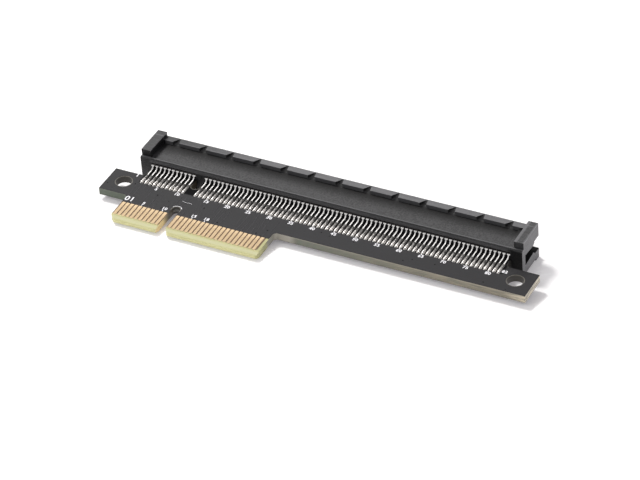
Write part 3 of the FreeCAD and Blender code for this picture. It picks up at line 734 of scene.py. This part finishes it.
class RISER_OT_print(bpy.types.Operator):
    """Print the pin numbers and marks on the board"""
    bl_idname = "riser.print"
    bl_label = "Printed numbers"

    def execute(self, context):
        sizes, contact = context.scene.riser_print, context.scene.riser_contacts
        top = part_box("solder_mask_upper")[1][2] + sizes.lift
        pins = np.concatenate([bank_places("contacts_upper_" + bank, contact.width, contact.pitch)
                               for bank in SLOT_BANKS])
        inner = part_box("gold_fingers_upper_power")[1][1]
        aside, pin_row, finger_row = 0.1 * MM, 0.06 * MM, inner + 1.05 * MM
        labels = [(str(n), pins[n - 1] + aside, pin_row, sizes.digit) for n in NUMBERED_PINS]
        labels += [(str(len(pins)), pins[-1] + 1.15 * MM, 1.75 * MM, sizes.digit),
                   ("1", pins[0] - 2.0 * MM, 3.1 * MM, sizes.pin_mark)]
        labels += [(str(n), pins[n - 1] + aside, finger_row, sizes.digit) for n in NUMBERED_FINGERS]
        labels += [("01", pins[0] + 0.5 * MM, inner + 1.35 * MM, sizes.first)]
        shapes = []
        for text, x, y, height in labels:
            shape, outline = self.digits(text, height, sizes.bold)
            shapes.append((shape + (x, y, 0.0), outline))
        ticks = [(n, 0.9 * MM, 0.4 * MM) for n in NUMBERED_PINS]
        ticks += [(n, inner + 0.1 * MM, inner + 0.6 * MM) for n in NUMBERED_FINGERS]
        shapes += [self.line([(pins[n - 1], start), (pins[n - 1], end)], sizes.stroke)
                   for n, start, end in ticks]
        turn, reach = np.linspace(math.radians(150), math.radians(25), 9), NOTCH_RADIUS + 0.3
        arc = np.stack([NOTCH_X + reach * np.cos(turn), NOTCH_Y + reach * np.sin(turn)], axis=1)
        shapes.append(self.line(arc * MM, 0.7 * sizes.stroke))
        crooked = np.array([(-30.4, -1.6), (-29.2, -1.85), (-28.6, -1.7), (-28.0, -1.85)])
        shapes.append(self.line(crooked * MM, 0.4 * sizes.stroke))
        points, faces, base = [], [], 0
        for shape, outline in shapes:
            points.append(shape + (0.0, 0.0, top))
            faces.extend([index + base for index in face] for face in outline)
            base += len(shape)
        piece = add_piece("printed_numbers", np.concatenate(points), faces, print_ink(sizes.tone))
        return {"FINISHED"}

    def line(self, path, width):
        """Flat band along a path: each station is moved half the width to both sides of its tangent."""
        path = np.asarray(path, float)
        tangent = np.gradient(path, axis=0)
        tangent /= np.linalg.norm(tangent, axis=1)[:, None]
        aside = np.stack([-tangent[:, 1], tangent[:, 0]], axis=1) * width / 2
        points = np.zeros((len(path), 2, 3))
        points[:, 0, :2], points[:, 1, :2] = path - aside, path + aside
        first = np.arange(len(path) - 1)[:, None] * 2
        return points.reshape(-1, 3), (first + np.array([[0, 2, 3, 1]])).tolist()

    def digits(self, text, height, bold):
        """Flat faces of a number, centred on the origin, as tall as asked, without empty faces."""
        digit_share, spacing, least_area = 0.72, 1.12, 1e-6 * MM * MM
        curve = bpy.data.curves.new("number", "FONT")
        curve.body, curve.align_x, curve.align_y = text, "CENTER", "CENTER"
        curve.size, curve.offset, curve.space_character = height / digit_share, bold, spacing
        letter = bpy.data.objects.new("number", curve)
        bpy.context.scene.collection.objects.link(letter)
        bpy.context.view_layer.update()
        flat = bpy.data.meshes.new_from_object(letter)
        shape = np.empty(len(flat.vertices) * 3)
        flat.vertices.foreach_get("co", shape)
        outline = [list(face.vertices) for face in flat.polygons if face.area > least_area]
        bpy.data.objects.remove(letter)
        bpy.data.curves.remove(curve)
        bpy.data.meshes.remove(flat)
        return shape.reshape(-1, 3), outline


class RISER_OT_finishes(bpy.types.Operator):
    """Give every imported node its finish"""
    bl_idname = "riser.finishes"
    bl_label = "Finishes"

    def execute(self, context):
        tones, board = context.scene.riser_finishes, context.scene.riser_board
        finishes = {"board_laminate": laminate(tones, board),
                    "connector_housing": moulded_plastic(tones)}
        mask, gold = black_mask(tones), gold_plating(tones)
        for side in SIDES:
            finishes["solder_mask_" + side] = mask
            for bank in EDGE_BANKS:
                finishes["gold_fingers_%s_%s" % (side, bank)] = gold
        for name, material in finishes.items():
            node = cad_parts[name]
            if not node.material_slots:
                node.data.materials.append(material)
            for slot in node.material_slots:
                slot.material = material
        return {"FINISHED"}


class RISER_OT_stage(bpy.types.Operator):
    """Lay the floor, hang the lamps and place the camera"""
    bl_idname = "riser.stage"
    bl_label = "Stage"

    def execute(self, context):
        settings = context.scene.riser_stage
        self.floor(settings)
        self.world(context.scene, settings)
        for name, (place, size, power, tone) in LAMPS.items():
            self.lamp(name, place, size, getattr(settings, power), tone)
        self.camera(context.scene, settings)
        context.scene.view_settings.view_transform = "Standard"
        return {"FINISHED"}

    def floor(self, settings):
        """The card rests tipped, on its fingertips and the connector's lower front edge, and the
        frame holds it level, so the floor falls evenly between these two lines.

        Height over Y: level at the fingertips' lower edge, then a straight fall to the connector's
        lower rim, then level again.
        """
        clearance, rim_step = 0.02 * MM, 0.5 * MM
        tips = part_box("gold_fingers_lower_power")[0][2]
        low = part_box("connector_housing")[0][2] - clearance
        half = settings.floor_size / 2
        slope = (low + rim_step - tips) / (settings.rest_back - settings.rest_front)
        end = settings.rest_front + (low - tips) / slope
        y = np.array([-half, settings.rest_front, end, half])
        z = np.array([tips, tips, low, low])
        x = np.array([-half, half])
        points = np.stack(np.broadcast_arrays(x[None, :], y[:, None], z[:, None]), axis=-1)
        faces = np.arange(len(y) - 1)[:, None] * 2 + np.array([[0, 1, 3, 2]])
        mesh = bpy.data.meshes.new("floor")
        mesh.from_pydata(points.reshape(-1, 3).tolist(), [], faces.tolist())
        mesh.materials.append(self.white_floor(settings))
        floor = bpy.data.objects.new("floor", mesh)
        bpy.context.scene.collection.objects.link(floor)

    def white_floor(self, settings):
        """Matte white that looks lighter to the camera and in reflections, and keeps its shadow."""
        material = bpy.data.materials.new("white_floor")
        shader = Shader(material)
        tone = (settings.floor_tone,) * 3 + (1.0,)
        matte = shader.node("ShaderNodeBsdfDiffuse", None, {"Color": tone})
        rays = shader.node("ShaderNodeLightPath")
        surface = matte
        for ray, strength in (("Is Camera Ray", settings.glow), ("Is Glossy Ray", settings.mirror_glow)):
            glow = shader.node("ShaderNodeEmission", None, {"Color": GLOW_TONE, "Strength": strength})
            both = shader.node("ShaderNodeAddShader", None, {0: matte.outputs[0], 1: glow.outputs[0]})
            surface = shader.mix_shaders(rays.outputs[ray], surface, both)
        shader.node("ShaderNodeOutputMaterial", None, {"Surface": surface.outputs[0]})
        return material

    def world(self, scene, settings):
        """Even light of one strength, seen by the camera as plain white."""
        world = bpy.data.worlds.new("studio")
        shader = Shader(world)
        rays = shader.node("ShaderNodeLightPath")
        even = shader.node("ShaderNodeBackground", None, {"Color": SKY_TONE, "Strength": settings.sky})
        white = shader.node("ShaderNodeBackground", None, {"Color": WHITE})
        surface = shader.mix_shaders(rays.outputs["Is Camera Ray"], even, white)
        shader.node("ShaderNodeOutputWorld", None, {"Surface": surface.outputs[0]})
        scene.world = world

    def lamp(self, name, place, size, power, tone):
        """A round area lamp that points at the origin."""
        data = bpy.data.lights.new(name, "AREA")
        data.shape, data.size, data.energy, data.color = "DISK", size, power, tone
        lamp = bpy.data.objects.new(name, data)
        lamp.matrix_world = (Matrix.Translation(place)
                             @ Vector(place).to_track_quat("Z", "Y").to_matrix().to_4x4())
        bpy.context.scene.collection.objects.link(lamp)

    def camera(self, scene, settings):
        """The camera at its place, aimed at its point and turned about its own axis by the roll."""
        data = bpy.data.cameras.new("camera")
        data.lens, data.sensor_width = settings.lens, settings.sensor
        data.clip_start, data.clip_end = 0.01, 20.0
        camera = bpy.data.objects.new("camera", data)
        place, aim = Vector(settings.camera_place), Vector(settings.camera_aim)
        turn = (place - aim).to_track_quat("Z", "Y").to_matrix().to_4x4()
        camera.matrix_world = (Matrix.Translation(place) @ turn
                               @ Matrix.Rotation(settings.camera_roll, 4, "Z"))
        scene.collection.objects.link(camera)
        scene.camera = camera


class RISER_PT_panel(bpy.types.Panel):
    """Lists the riser card's steps and sizes"""
    bl_label = "Riser Card"
    bl_idname = "RISER_PT_panel"
    bl_space_type = "VIEW_3D"
    bl_region_type = "UI"
    bl_category = "Riser Card"

    def draw(self, context):
        for operator in STEPS:
            self.layout.operator(operator.bl_idname)
        for name in GROUPS:
            group = getattr(context.scene, name)
            box = self.layout.box()
            for key in group.bl_rna.properties.keys():
                if key not in ("rna_type", "name"):
                    box.prop(group, key)


GROUPS = {
    "riser_contacts": ContactSizes,
    "riser_solder": SolderSizes,
    "riser_print": PrintSizes,
    "riser_finishes": Finishes,
    "riser_board": BoardTones,
    "riser_stage": StageSettings,
}
STEPS = (RISER_OT_contacts, RISER_OT_solder, RISER_OT_print, RISER_OT_finishes, RISER_OT_stage)
CLASSES = tuple(GROUPS.values()) + STEPS + (RISER_PT_panel,)


def register():
    for item in CLASSES:
        bpy.utils.register_class(item)
    for name, group in GROUPS.items():
        setattr(bpy.types.Scene, name, PointerProperty(type=group))


def unregister():
    for name in GROUPS:
        delattr(bpy.types.Scene, name)
    for item in reversed(CLASSES):
        bpy.utils.unregister_class(item)


def main():
    """Runs the steps in order."""
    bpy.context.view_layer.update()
    register()
    for step in STEPS:
        name = step.bl_idname.split(".")[1]
        getattr(bpy.ops.riser, name)()


if __name__ == "__main__":
    main()
